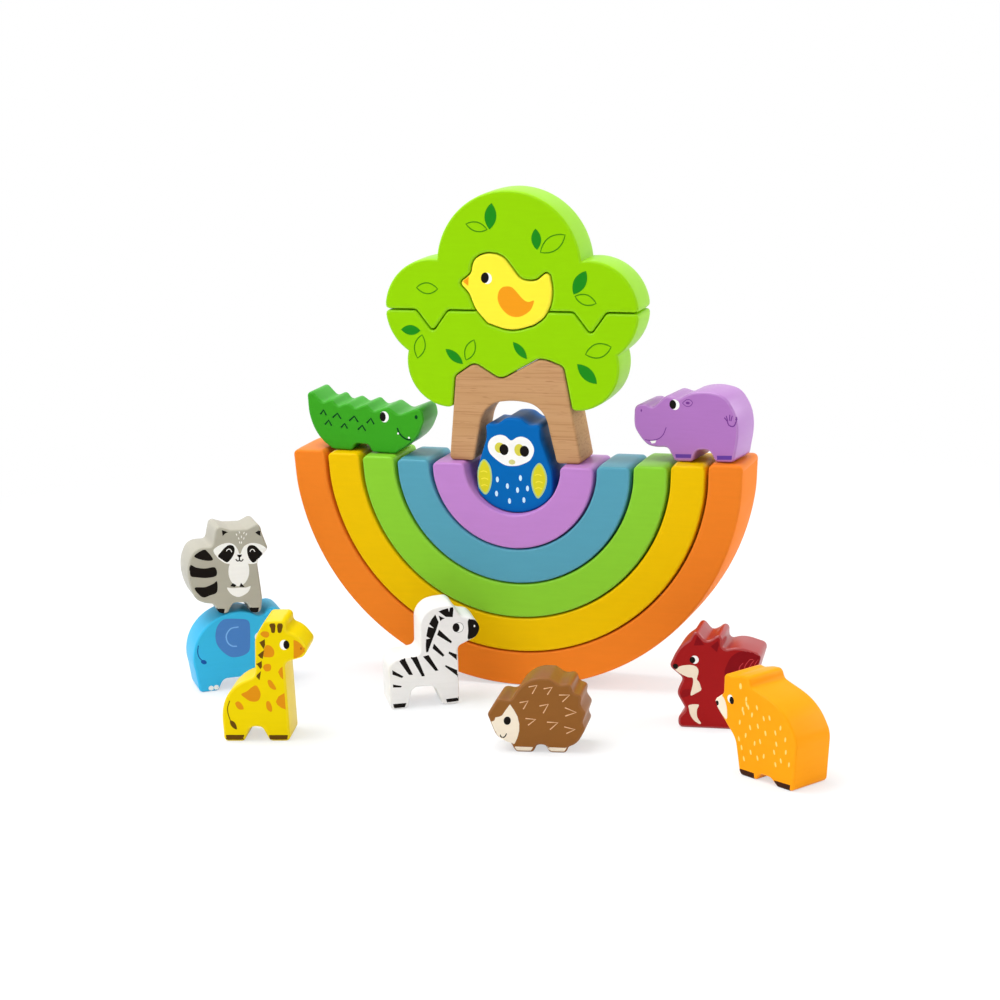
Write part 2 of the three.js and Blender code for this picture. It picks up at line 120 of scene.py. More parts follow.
# Prints, in mm: thickness of the raised ink and width of a leaf's line; the share that a raised line is
# flattened to, and the power that rounds a leaf's blade
INK = 0.06
LEAF_LINE = 0.7
LINE_FLATNESS = 0.25
LEAF_FULLNESS = 0.8

# Points round a full oval and round the nib of a line, steps between points of a smooth outline or line,
# steps round the end of a line
OVAL_POINTS = 28
NIB_POINTS = 8
BLOB_STEPS = 5
STROKE_STEPS = 6
CAP_STEPS = 6


def srgb(red, green, blue):
    """A linear colour from the red, green and blue of a paint chip, 0 to 255."""
    def linear(level):
        level /= 255
        return level / 12.92 if level <= 0.04045 else ((level + 0.055) / 1.055) ** 2.4
    return linear(red), linear(green), linear(blue), 1.0


# Colours of the paints, the inks and the wood: red, green, blue
CHIPS = {
    "orange": (235, 127, 36),
    "yellow": (232, 188, 0),
    "green": (135, 200, 50),
    "blue": (85, 156, 178),
    "purple": (188, 130, 200),
    "foliage": (146, 207, 2),
    "chick": (255, 234, 58),
    "owl": (4, 100, 176),
    "crocodile": (58, 158, 32),
    "hippo": (172, 116, 186),
    "raccoon": (176, 172, 158),
    "elephant": (58, 180, 226),
    "giraffe": (230, 202, 0),
    "zebra": (235, 233, 231),
    "hedgehog": (140, 90, 42),
    "squirrel": (157, 27, 29),
    "bear": (250, 158, 16),
    "black": (24, 20, 18),
    "white": (244, 243, 240),
    "cream": (236, 222, 200),
    "leaf": (30, 136, 26),
    "leaf line": (66, 136, 12),
    "amber": (240, 154, 26),
    "tan": (166, 92, 30),
    "dark brown": (98, 66, 14),
    "owl eye": (212, 203, 74),
    "owl beak": (206, 204, 130),
    "owl feather": (236, 224, 66),
    "owl wing": (214, 206, 40),
    "owl rim": (176, 204, 130),
    "owl drop": (200, 232, 250),
    "deep blue": (30, 84, 160),
    "elephant ear": (74, 126, 194),
    "ear fold": (122, 178, 232),
    "violet": (116, 60, 140),
    "indigo": (98, 62, 158),
    "crocodile ink": (8, 62, 28),
    "giraffe spot": (216, 138, 18),
    "dark red": (128, 16, 24),
    "red shade": (138, 22, 26),
    "soft red": (190, 62, 66),
    "bear brown": (62, 34, 20),
    "bear fleck": (255, 212, 116),
    "hedgehog tick": (230, 184, 142),
    "grey": (150, 150, 150),
    "beech": (191, 146, 101),
    "pale beech": (200, 155, 112),
    "beech line": (160, 110, 68),
    "beech fleck": (140, 88, 52),
}


def placed(name, data):
    """A new object of the scene with its mesh, lamp or camera."""
    made = bpy.data.objects.new(name, data)
    bpy.context.scene.collection.objects.link(made)
    return made


# Finishes

def node(tree, kind, **settings):
    made = tree.nodes.new(kind)
    for name, value in settings.items():
        if name in made.inputs:
            made.inputs[name].default_value = value
        else:
            setattr(made, name, value)
    return made


def grain(tree, scale, detail, stretch):
    """Noise drawn out along the grain of the board, read from the piece's own coordinates."""
    place = node(tree, "ShaderNodeTexCoord")
    board = node(tree, "ShaderNodeMapping", Scale=stretch)
    noise = node(tree, "ShaderNodeTexNoise", Scale=scale, Detail=detail)
    tree.links.new(place.outputs["Object"], board.inputs["Vector"])
    tree.links.new(board.outputs["Vector"], noise.inputs["Vector"])
    return noise.outputs["Fac"]


def levels(tree, value, low, high, start=0.3, end=0.7, curve="LINEAR"):
    """A value spread from low to high as it goes from start to end."""
    spread = node(tree, "ShaderNodeMapRange", interpolation_type=curve)
    for name, level in (("From Min", start), ("From Max", end), ("To Min", low), ("To Max", high)):
        spread.inputs[name].default_value = level
    tree.links.new(value, spread.inputs["Value"])
    return spread.outputs["Result"]


def two_tone(tree, factor, first, second):
    mix = node(tree, "ShaderNodeMix", data_type="RGBA")
    mix.inputs["A"].default_value = first
    mix.inputs["B"].default_value = second
    tree.links.new(factor, mix.inputs["Factor"])
    return mix.outputs["Result"]


def either(tree, first, second):
    """The larger of two values."""
    larger = node(tree, "ShaderNodeMath", operation="MAXIMUM")
    tree.links.new(first, larger.inputs[0])
    tree.links.new(second, larger.inputs[1])
    return larger.outputs[0]


def shade(colour, amount):
    return tuple(min(1.0, level * amount) for level in colour[:3]) + (1.0,)


def stained(tree, ground, factor, chip):
    """The ground with the colour of a chip laid over it by the factor."""
    mix = node(tree, "ShaderNodeMix", data_type="RGBA")
    mix.inputs["B"].default_value = srgb(*CHIPS[chip])
    tree.links.new(factor, mix.inputs["Factor"])
    tree.links.new(ground, mix.inputs["A"])
    return mix.outputs["Result"]


def raised(tree, surface, height, strength):
    bump = node(tree, "ShaderNodeBump", Strength=strength, Distance=PORE_DEPTH)
    tree.links.new(height, bump.inputs["Height"])
    tree.links.new(bump.outputs["Normal"], surface.inputs["Normal"])


def new_material(name):
    material = bpy.data.materials.new(name)
    material.use_nodes = True
    tree = material.node_tree
    return material, tree, tree.nodes["Principled BSDF"]


def paint(chip, gloss=FACE_GLOSS):
    """Paint over close-grained board, silky on a face and glossier round its edge."""
    edge = gloss > FACE_GLOSS
    kind = "edge paint" if edge else "paint" if gloss == FACE_GLOSS else "rubbed paint"
    name = f"{kind} {chip}"
    if name in bpy.data.materials:
        return bpy.data.materials[name]
    material, tree, surface = new_material(name)
    colour = srgb(*CHIPS[chip])
    streaks = levels(tree, grain(tree, *STREAKS), 0, 1)
    streaked = two_tone(tree, streaks, *(shade(colour, tone) for tone in STREAK_TONES))
    tree.links.new(streaked, surface.inputs["Base Color"])
    rough = EDGE_ROUGHNESS if edge else FACE_ROUGHNESS
    patches = levels(tree, grain(tree, *PATCHES), *(rough + change for change in PATCH_ROUGHNESS))
    tree.links.new(patches, surface.inputs["Roughness"])
    raised(tree, surface, grain(tree, *PORES), PORE_STRENGTH)
    surface.inputs["Specular IOR Level"].default_value = gloss
    return material


def beech():
    """Oiled beech, its grain level across the trunk: broad bands, fine lines and short dark flecks."""
    material, tree, surface = new_material("oiled beech")
    bands = levels(tree, grain(tree, *WOOD_BANDS), 0, 1)
    lines = levels(tree, grain(tree, *WOOD_LINES), *LINE_LEVELS)
    flecks = levels(tree, grain(tree, *WOOD_FLECKS), *FLECK_LEVELS)
    ground = two_tone(tree, bands, srgb(*CHIPS["beech"]), srgb(*CHIPS["pale beech"]))
    lined = stained(tree, ground, lines, "beech line")
    tree.links.new(stained(tree, lined, flecks, "beech fleck"), surface.inputs["Base Color"])
    tree.links.new(levels(tree, lines, *WOOD_ROUGHNESS, 0, 1), surface.inputs["Roughness"])
    surface.inputs["Specular IOR Level"].default_value = WOOD_GLOSS
    raised(tree, surface, lines, LINE_STRENGTH)
    return material


# Shapes printed on a face, in mm from the left end and the foot of the block

def oval(x, y, width, height, turn=0):
    tilt = Matrix.Rotation(math.radians(turn), 2)
    steps = [2 * math.pi * step / OVAL_POINTS for step in range(OVAL_POINTS)]
    rim = [Vector((math.cos(angle) * width / 2, math.sin(angle) * height / 2)) for angle in steps]
    return [Vector((x, y)) + tilt @ point for point in rim]


def patch(*points):
    return [Vector(point) for point in points]


def between(a, b, c, d, t):
    """A point of the smooth curve from b to c that comes from a and goes on to d."""
    return 0.5 * (2 * b + (c - a) * t + (2 * a - 5 * b + 4 * c - d) * t ** 2
                  + (3 * b - a - 3 * c + d) * t ** 3)


def blob(*points):
    """A smooth closed outline through the points."""
    ring = [Vector(point) for point in points]
    count = len(ring)
    curve = []
    for index in range(count):
        a, b, c, d = (ring[(index + step) % count] for step in (-1, 0, 1, 2))
        curve.extend(between(a, b, c, d, step / BLOB_STEPS) for step in range(BLOB_STEPS))
    return curve


def stroke(width, *points):
    """A smooth line of one width through the points, with round ends."""
    path = [Vector(point) for point in points]
    path = [2 * path[0] - path[1], *path, 2 * path[-1] - path[-2]]
    line = []
    for index in range(1, len(path) - 2):
        a, b, c, d = path[index - 1:index + 3]
        line.extend(between(a, b, c, d, step / STROKE_STEPS) for step in range(STROKE_STEPS))
    line.append(path[-2])
    half = width / 2
    normals = []
    for index in range(len(line)):
        along = (line[min(index + 1, len(line) - 1)] - line[max(index - 1, 0)]).normalized()
        normals.append(Vector((-along.y, along.x)))

    def cap(at, normal):
        turns = [Matrix.Rotation(-math.pi * step / CAP_STEPS, 2) for step in range(1, CAP_STEPS)]
        return [at + half * (turn @ normal) for turn in turns]

    left = [at + half * normal for at, normal in zip(line, normals)]
    right = [at - half * normal for at, normal in zip(line, normals)]
    return left + cap(line[-1], normals[-1]) + right[::-1] + cap(line[0], -normals[0])


def each(chip, shape, outlines):
    """Prints of one colour and one kind of shape."""
    return [(chip, shape(*points)) for points in outlines]


def anticlockwise(outline):
    doubled_area = sum(a.cross(b) for a, b in zip(outline, outline[1:] + outline[:1]))
    return outline if doubled_area >= 0 else outline[::-1]


# A block's face: its outline in mm, and where that lies in the room

class Face:
    def __init__(self, name):
        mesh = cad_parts[name].data
        spots = {}
        index = []
        for vertex in mesh.vertices:
            key = tuple(round(value, 6) for value in vertex.co)
            index.append(spots.setdefault(key, len(spots)))
        points = [Vector(key) for key in spots]
        faces = [[index[corner] for corner in polygon.vertices] for polygon in mesh.polygons]
        self.back = self.thickness_axis(points, faces)
        self.up = (Vector((0, 0, 1)) - self.back * self.back.z).normalized()
        self.right = self.back.cross(self.up)
        reach = [point.dot(self.back) for point in points]
        self.front = min(reach)
        self.depth = (max(reach) - self.front) / MM
        loop = self.front_loop(points, faces)
        across = [point.dot(self.right) for point in loop]
        above = [point.dot(self.up) for point in loop]
        self.left, self.foot = min(across), min(above)
        self.outline = anticlockwise([Vector(((x - self.left) / MM, (y - self.foot) / MM))
                                      for x, y in zip(across, above)])

    def thickness_axis(self, points, faces):
        areas = {}
        for corners in faces:
            a, b, c = (points[corner] for corner in corners[:3])
            normal = (b - a).cross(c - a)
            if normal.length > 0:
                key = tuple(round(value, 2) for value in normal.normalized())
                areas[key] = areas.get(key, Vector()) + normal
        axis = max(areas.values(), key=lambda area: area.length).normalized()
        return axis if axis.y > 0 else -axis

    def front_loop(self, points, faces):
        """The outline where the straight wall meets the rounded front edge."""
        near, far = set(), set()
        for corners in faces:
            for a, b in zip(corners, corners[1:] + corners[:1]):
                edge = points[b] - points[a]
                run = edge.dot(self.back)
                lean = (edge - run * self.back).length
                if run / MM > WALL_SPAN * self.depth and lean < WALL_LEAN * MM:
                    near.add(a)
                    far.add(b)
        follows = {}
        for corners in faces:
            if sum(corner in near for corner in corners) == 2 and any(corner in far for corner in corners):
                for a, b in zip(corners, corners[1:] + corners[:1]):
                    if a in near and b in near:
                        follows[a] = b
        start = here = next(iter(follows))
        loop = [points[start]]
        while follows[here] != start:
            here = follows[here]
            loop.append(points[here])
        return loop

    def at(self, x, y, sink=0.0):
        return (self.right * (self.left + x * MM) + self.up * (self.foot + y * MM)
                + self.back * (self.front + sink * MM))


def unfaceted(points):
    """A closed outline with its facets drawn as curves; corners sharper than KEPT_CORNER stay."""
    count = len(points)
    sides = [points[(index + 1) % count] - points[index] for index in range(count)]
    headings = []
    for index in range(count):
        before, after = sides[index - 1], sides[index]
        if before.angle(after) > KEPT_CORNER:
            headings.append(None)
        elif before.length > STRAIGHT_RATIO * after.length:
            headings.append(before.normalized())
        elif after.length > STRAIGHT_RATIO * before.length:
            headings.append(after.normalized())
        else:
            headings.append((before.normalized() + after.normalized()).normalized())
    curve, corners = [], []
    for index in range(count):
        start, side = points[index], sides[index]
        chord = side.normalized()
        leave, arrive = headings[index], headings[(index + 1) % count]
        if leave is None and arrive is None:
            leave = arrive = chord
        elif leave is None:
            leave = 2 * chord.dot(arrive) * chord - arrive
        elif arrive is None:
            arrive = 2 * chord.dot(leave) * chord - leave
        steps = max(1, round(side.length / OUTLINE_STEP))
        for step in range(steps):
            t = step / steps
            here = start * (2 * t ** 3 - 3 * t ** 2 + 1) + (start + side) * (3 * t ** 2 - 2 * t ** 3)
            here += side.length * (leave * (t ** 3 - 2 * t ** 2 + t) + arrive * (t ** 3 - t ** 2))
            corners.append(step == 0 and headings[index] is None)
            curve.append(here)
    return curve, corners


def inset(points, corners, distances):
    """The outline moved inwards, each point by its own distance; points that would cross become one."""
    count = len(points)
    sides = [points[(index + 1) % count] - points[index] for index in range(count)]
    moved = []
    for index in range(count):
        before, after = sides[index - 1].normalized(), sides[index].normalized()
        inward = Vector((-before.y - after.y, before.x + after.x))
        moved.append(points[index] + inward * distances[index] / max(MITRE_LIMIT, 1 + before.dot(after)))
    crossed = [(moved[(index + 1) % count] - moved[index]).dot(sides[index]) < 0 for index in range(count)]
    for index in range(count):
        if crossed[index] and not crossed[index - 1]:
            run = [index]
            while crossed[run[-1] % count]:
                run.append(run[-1] + 1)
            run = [step % count for step in run]
            sharp = [moved[step] for step in run if corners[step]]
            middle = sum((moved[step] for step in run), Vector((0, 0))) / len(run)
            for step in run:
                moved[step] = (sharp[0] if sharp else middle).copy()
    return moved


def without_doubles(points):
    """The outline without points that lie on one another."""
    return [point for index, point in enumerate(points) if (point - points[index - 1]).length > SLIVER]


def printed_cap(border, prints):
    """Triangles of a flat face, each with the number of the topmost print it lies in."""
    points, rings = [], []
    for drawn in (border, *(outline for _, outline in prints)):
        outline = anticlockwise(without_doubles(drawn))
        rings.append(list(range(len(points), len(points) + len(outline))))
        points.extend(outline)
    made, _, triangles, _, _, sources = delaunay_2d_cdt(points, [], rings, 1, CUT_TOLERANCE, True)
    return made, [(triangle, max(source)) for triangle, source in zip(triangles, sources) if 0 in source]


def inside(point, outline):
    """Whether the point lies within a closed outline."""
    within = False
    for a, b in zip(outline, outline[1:] + outline[:1]):
        if (a.y > point.y) != (b.y > point.y):
            crossing = a.x + (b.x - a.x) * (point.y - a.y) / (b.y - a.y)
            within ^= point.x < crossing
    return within


def even(amount):
    """The same fill at every point of an outline."""
    return lambda outline: [amount] * len(outline)


def ring_fill(outermost):
    """Fill of a ring's walls, growing with the gap from foot to ends; the outermost wall has no gap."""
    def fills(outline):
        radius = max(point.x for point in outline) / 2
        ends = max(point.y for point in outline) - END_BAND
        amounts = []
        for point in outline:
            spoke = point - Vector((radius, radius))
            gap = END_GAP - (END_GAP - FOOT_GAP) * max(0, -spoke.normalized().y)
            if outermost and spoke.length > radius - END_BAND:
                amounts.append(0)
            elif point.y > ends:
                amounts.append(END_FILL)
            else:
                amounts.append(min(MOST_FILL, (gap - GAP_LEFT) / 2))
        return amounts
    return fills


def edge_profile(depth, ease, filled):
    """Rings of points from front to back, and how many of them round the front edge after the first.

    Each ring has its setback in mm, its share of the wall's fill and its depth in mm."""
    profile = [(ease + EDGE_ROUND + EDGE_BORDER, 0.0, 0.0)]
    for step in range(EDGE_STEPS, -1, -1):
        angle = math.pi / 2 * step / EDGE_STEPS
        profile.append((ease + EDGE_ROUND * (1 - math.cos(angle)), 0.0, EDGE_ROUND * (1 - math.sin(angle))))
    rounded = len(profile) - 1
    if filled:
        for step in range(1, EASED_STEPS + 1):
            share = step / EASED_STEPS
            eased = (1 - share) ** 2
            profile.append((ease * eased, 1 - eased, EDGE_ROUND + EASED_DEPTH * share))
    profile += [(setback, share, depth - sink) for setback, share, sink in reversed(profile)]
    return profile, rounded


def cut_block(name, face_finish, edge_finish, prints=(), slot=None, ease=0.0, fill=0.0, wall_finish=None):
    """One block of board with rounded edges, printed on both faces, in place of its plain solid.

    A print that reaches past the flat of the face carries on round its edge. A wall finish covers the walls
    below the top ends of the block."""
    face = Face(name)
    outline, corners = unfaceted(face.outline)
    fills = (fill if callable(fill) else even(fill))(outline)
    profile, rounded = edge_profile(face.depth, ease, fill)
    finishes = [edge_finish, face_finish]
    if wall_finish:
        finishes.append(wall_finish)
    on_face, on_wall = 1, 2
    ends = max(point.y for point in outline) - END_BAND
    colours = []
    for chip, _ in prints:
        material = paint(chip)
        if material not in finishes:
            finishes.append(material)
        colours.append(finishes.index(material))
    shell = bmesh.new()
    drawn, rings = [], []
    for setback, share, sink in profile:
        ring = inset(outline, corners, [setback - share * most for most in fills])
        drawn.append(ring)
        rings.append([shell.verts.new(face.at(*point, sink)) for point in ring])
    count = len(outline)
    for level in range(len(rings) - 1):
        near, far = rings[level:level + 2]
        on_edge = level < rounded or level >= len(rings) - 1 - rounded
        for index in range(count):
            after = (index + 1) % count
            strip = shell.faces.new((near[index], far[index], far[after], near[after]))
            strip.smooth = True
            middle = (drawn[level][index] + drawn[level + 1][after]) / 2
            if on_edge:
                for colour, (_, printed) in zip(colours, prints):
                    if inside(middle, printed):
                        strip.material_index = colour
            elif wall_finish and middle.y < ends:
                strip.material_index = on_wall
    made, triangles = printed_cap(drawn[0], prints)
    for sink, order in ((0.0, 1), (face.depth, -1)):
        spots = [shell.verts.new(face.at(*point, sink)) for point in made]
        for triangle, source in triangles:
            flat = shell.faces.new([spots[corner] for corner in triangle][::order])
            flat.material_index = colours[source - 1] if source else on_face
            flat.smooth = True
    bmesh.ops.remove_doubles(shell, verts=shell.verts, dist=MERGED * MM)
    bmesh.ops.dissolve_degenerate(shell, edges=shell.edges, dist=SLIVER * MM)
    mesh = bpy.data.meshes.new(name + "_block")
    shell.to_mesh(mesh)
    shell.free()
    for material in finishes:
        mesh.materials.append(material)
    piece = placed(name + "_block", mesh)
    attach(piece, name)
    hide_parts(name)
    return face


def painted(name, chip, prints=(), gloss=EDGE_GLOSS, **options):
    return cut_block(name, paint(chip), paint(chip, gloss), prints, **options)


# Repeated marks: a shape set out on points, each with its own turn and size, realised as raised ink

def marks_tree(name, lined):
    tree = bpy.data.node_groups.new(name, "GeometryNodeTree")
    for label, kind in (("Places", "NodeSocketGeometry"), ("Mark", "NodeSocketObject"),
                        ("Ink", "NodeSocketMaterial"), ("Line", "NodeSocketFloat")):
        tree.interface.new_socket(label, in_out="INPUT", socket_type=kind)
    tree.interface.new_socket("Marks", in_out="OUTPUT", socket_type="NodeSocketGeometry")
    enter = tree.nodes.new("NodeGroupInput")
    leave = tree.nodes.new("NodeGroupOutput")
    mark = tree.nodes.new("GeometryNodeObjectInfo")
    turn = node(tree, "GeometryNodeInputNamedAttribute", data_type="FLOAT_VECTOR", Name="turn")
    size = node(tree, "GeometryNodeInputNamedAttribute", data_type="FLOAT_VECTOR", Name="size")
    turned = tree.nodes.new("FunctionNodeEulerToRotation")
    spread = tree.nodes.new("GeometryNodeInstanceOnPoints")
    solid = tree.nodes.new("GeometryNodeRealizeInstances")
    ink = tree.nodes.new("GeometryNodeSetMaterial")
    link = tree.links.new
    link(enter.outputs["Mark"], mark.inputs["Object"])
    link(turn.outputs["Attribute"], turned.inputs["Euler"])
    link(enter.outputs["Places"], spread.inputs["Points"])
    link(mark.outputs["Geometry"], spread.inputs["Instance"])
    link(turned.outputs["Rotation"], spread.inputs["Rotation"])
    link(size.outputs["Attribute"], spread.inputs["Scale"])
    link(spread.outputs["Instances"], solid.inputs["Geometry"])
    last = solid.outputs["Geometry"]
    if lined:
        path = tree.nodes.new("GeometryNodeMeshToCurve")
        nib = node(tree, "GeometryNodeCurvePrimitiveCircle", Resolution=NIB_POINTS)
        bead = tree.nodes.new("GeometryNodeCurveToMesh")
        bead.inputs["Fill Caps"].default_value = True
        flat = tree.nodes.new("GeometryNodeTransform")
        flat.inputs["Scale"].default_value = (1, 1, LINE_FLATNESS)
        link(last, path.inputs["Mesh"])
        link(enter.outputs["Line"], nib.inputs["Radius"])
        link(path.outputs["Curve"], bead.inputs["Curve"])
        link(nib.outputs["Curve"], bead.inputs["Profile Curve"])
        link(bead.outputs["Mesh"], flat.inputs["Geometry"])
        last = flat.outputs["Geometry"]
    link(last, ink.inputs["Geometry"])
    link(enter.outputs["Ink"], ink.inputs["Material"])
    link(ink.outputs["Geometry"], leave.inputs["Marks"])
    return tree


FILLED_MARKS = marks_tree("filled marks", False)
LINED_MARKS = marks_tree("lined marks", True)


def mark_shape(name, outline, filled, closed=True):
    """A mark of unit size: a thin plate of ink, or the bare line of one."""
    mesh = bpy.data.meshes.new(name)
    count = len(outline)
    if filled:
        points = [(x, y, z) for z in (-1, 1) for x, y in outline]
        faces = [range(count - 1, -1, -1), range(count, 2 * count)]
        for index in range(count):
            after = (index + 1) % count
            faces.append((index, after, after + count, index + count))
        mesh.from_pydata(points, [], [list(corners) for corners in faces])
    else:
        edges = [(index, index + 1) for index in range(count - 1)]
        if closed:
            edges.append((count - 1, 0))
        mesh.from_pydata([(x, y, 0) for x, y in outline], edges, [])
    return bpy.data.objects.new(name, mesh)


def spread_marks(name, body, face, mark, places, chip, line=0.0):
    """Marks on both faces of a block: each place is x, y, turn in degrees, length and width in mm."""
    points = bpy.data.meshes.new(name)
    points.from_pydata([(x, y, 0) for x, y, *_ in places], [], [])
    turns = points.attributes.new("turn", "FLOAT_VECTOR", "POINT")
    sizes = points.attributes.new("size", "FLOAT_VECTOR", "POINT")
    for index, (_, _, turn, length, width) in enumerate(places):
        turns.data[index].vector = (0, 0, math.radians(turn))
        sizes.data[index].vector = (length, width, INK)
    sheet = placed(name, points)
    tree = LINED_MARKS if line else FILLED_MARKS
    setter = sheet.modifiers.new("marks", "NODES")
    setter.node_group = tree
    values = {"Mark": mark, "Ink": paint(chip), "Line": line / 2}
    for socket in tree.interface.items_tree:
        if socket.in_out == "INPUT" and socket.name in values:
            setter[socket.identifier] = values[socket.name]
    bpy.context.view_layer.update()
    made = bpy.data.meshes.new_from_object(sheet.evaluated_get(bpy.context.evaluated_depsgraph_get()))
    bpy.data.objects.remove(sheet)
    both = bmesh.new()
    for sink, side in ((0.0, -1), (face.depth, 1)):
        copy = bmesh.new()
        copy.from_mesh(made)
        for vertex in copy.verts:
            x, y, z = vertex.co
            vertex.co = face.at(x, y, sink + side * z)
        if side > 0:
            bmesh.ops.reverse_faces(copy, faces=copy.faces)
        half = bpy.data.meshes.new(name + "_half")
        copy.to_mesh(half)
        copy.free()
        both.from_mesh(half)
        bpy.data.meshes.remove(half)
    mesh = bpy.data.meshes.new(name)
    both.to_mesh(mesh)
    both.free()
    mesh.materials.append(paint(chip))
    piece = placed(name, mesh)
    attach(piece, body)


def blade_outline(points=9):
    """A leaf blade one unit long and one wide, from tip to tip along x."""
    shares = [step / points for step in range(points + 1)]
    arch = [(share - 0.5, 0.5 * math.sin(math.pi * share) ** LEAF_FULLNESS) for share in shares]
    return arch[::-1] + [(x, -y) for x, y in arch[1:-1]]


BLADE = mark_shape("blade", blade_outline(), True)
BLADE_LINE = mark_shape("blade_line", blade_outline(), False)
DROP = mark_shape("drop", [tuple(point) for point in oval(0, 0, 1, 1)[::2]], True)
TICK = mark_shape("tick", [(-0.5, -0.32), (0.1, 0.5), (0.5, -0.5)], False, closed=False)
SPINE = mark_shape("spine", [(-0.5, 0.28), (0.5, 0.5), (-0.1, -0.5)], False, closed=False)


# Rings of the rocker and the trunk

for ring in ("orange", "yellow", "green", "blue", "purple"):
    ring_gloss = THIN_GLOSS if ring in ("orange", "yellow") else EDGE_GLOSS
    painted(ring + "_arc", ring, gloss=ring_gloss, ease=RING_EASE, fill=ring_fill(ring == "orange"),
            wall_finish=paint(ring, WALL_GLOSS))
oiled = beech()
cut_block("trunk", oiled, oiled, **TRUNK_FIT)


# Tree: leaves printed over both halves, from tip to tip

def leaf(tip_x, tip_y, end_x, end_y, width):
    along = Vector((end_x - tip_x, end_y - tip_y))
    turn = math.degrees(math.atan2(along.y, along.x))
    return (tip_x + end_x) / 2, (tip_y + end_y) / 2, turn, along.length, width


crown = painted("upper_foliage", "foliage", slot="foliage", **FOLIAGE_FIT)
spread_marks("crown_leaves", "upper_foliage", crown, BLADE, [
    leaf(64.1, 69.2, 62.4, 54.9, 6.8), leaf(88.5, 55.6, 89, 44.1, 5.6), leaf(116.2, 33.1, 108.8, 20.3, 7),
], "leaf")
spread_marks("crown_leaf_lines", "upper_foliage", crown, BLADE_LINE, [
    leaf(49.1, 57.8, 61, 54.9, 5), leaf(90.9, 42.8, 105, 52.3, 7.6), leaf(19, 22.8, 31.2, 22.2, 6),
    leaf(109.6, 19.3, 121.3, 15.7, 5.6),
], "leaf line", line=LEAF_LINE)
skirt = painted("lower_foliage", "foliage", slot="foliage", **FOLIAGE_FIT)
spread_marks("skirt_leaves", "lower_foliage", skirt, BLADE, [
    leaf(8.8, 42.9, 20.2, 42.5, 5.6), leaf(34.4, 32.6, 44.3, 24.5, 5), leaf(73.6, 37.3, 81.3, 28.1, 4.6),
    leaf(109.7, 26, 120.6, 15.4, 6.6),
], "leaf")
spread_marks("skirt_leaf_lines", "lower_foliage", skirt, BLADE_LINE, [
    leaf(21, 40.1, 17.8, 27.2, 6.2), leaf(51.2, 37.9, 46.1, 26.7, 5.6), leaf(114.6, 31.3, 129, 35.7, 7.6),
], "leaf line", line=LEAF_LINE)


# Animals in the tree and on the rocker

painted("chick", "chick", [
    ("amber", patch((1.1, 26), (4.6, 28.8), (4.2, 23.7))),
    ("white", oval(15.2, 27.9, 5.4, 6.2)),
    ("black", oval(13.9, 28.2, 4.5, 5.9, -12)),
    ("amber", blob((24.1, 23.3), (26.4, 23.7), (28.7, 23.4), (30.6, 22), (32.5, 19.9), (34.2, 17.9),
                   (36.4, 16), (38.6, 15.4), (41.4, 16.2), (40.9, 13.8), (39.1, 10.7), (36.1, 8.5),
                   (33.2, 7.3), (29.8, 7.1), (26.4, 8.3), (23.4, 11), (21.4, 14.3), (20.8, 17.3),
                   (21.4, 20.3), (22.6, 22.2))),
], **CHICK_FIT)

owl = painted("owl", "owl", gloss=THIN_GLOSS, prints=[
    ("white", blob((7.2, 37.6), (9.1, 41.3), (13.3, 43.4), (17.3, 43), (20.7, 40.6), (24.2, 42.4),
                   (27.7, 42.8), (31.6, 40.7), (33.8, 35.7), (31.3, 30), (25.4, 27), (20.8, 26.3),
                   (16.7, 26.7), (12.2, 29.3), (8.2, 33.1))),
    *each("owl eye", oval, [(14, 36.3, 5.8, 5.9), (25.2, 35.4, 5.6, 6.7)]),
    *each("black", oval, [(16.4, 35.3, 5.2, 6.2), (28.2, 34.8, 5.3, 6.2)]),
    ("owl beak", oval(20.8, 28.5, 3.8, 2.8)),
    ("owl rim", blob((4.6, 29.6), (8, 25.8), (8.9, 19.1), (7.5, 12.8), (4.7, 9.6), (1.3, 13.1),
                     (0.1, 19.3), (1.5, 25.6))),
    ("owl wing", blob((4.6, 28.6), (7.2, 25.3), (8, 19.2), (6.8, 13.4), (4.7, 10.8), (2, 13.6), (1, 19.3),
                      (2.2, 25.1))),
    ("owl rim", blob((36.7, 28.6), (39.7, 24.8), (40.7, 19.2), (39, 13), (35.2, 8.6), (32.4, 12.7),
                     (31.5, 18.8), (33.1, 25.1))),
    ("owl wing", blob((36.6, 27.6), (38.9, 24.3), (39.8, 19.2), (38.2, 13.6), (35.3, 9.8), (33.2, 13.2),
                      (32.4, 18.8), (33.8, 24.6))),
    *[("owl feather", stroke(0.6, (x - 1.8, y - 0.5), (x, y), (x + 1.8, y - 0.6)))
      for x, y in ((4.3, 22.9), (4.6, 18.9), (4.4, 15.1), (35.7, 22.1), (36.1, 18.2), (35.8, 14.7))],
])
DROP_SIZE = (1.7, 3.2)
spread_marks("owl_drops", "owl", owl, DROP, [(x, y, 0, *DROP_SIZE) for x, y in (
    (12, 18.4), (25.4, 19.7), (17.7, 14.9), (23.5, 12.9), (29.3, 14), (11.2, 10.4), (18.6, 6.5), (27, 7.4),
)], "owl drop")

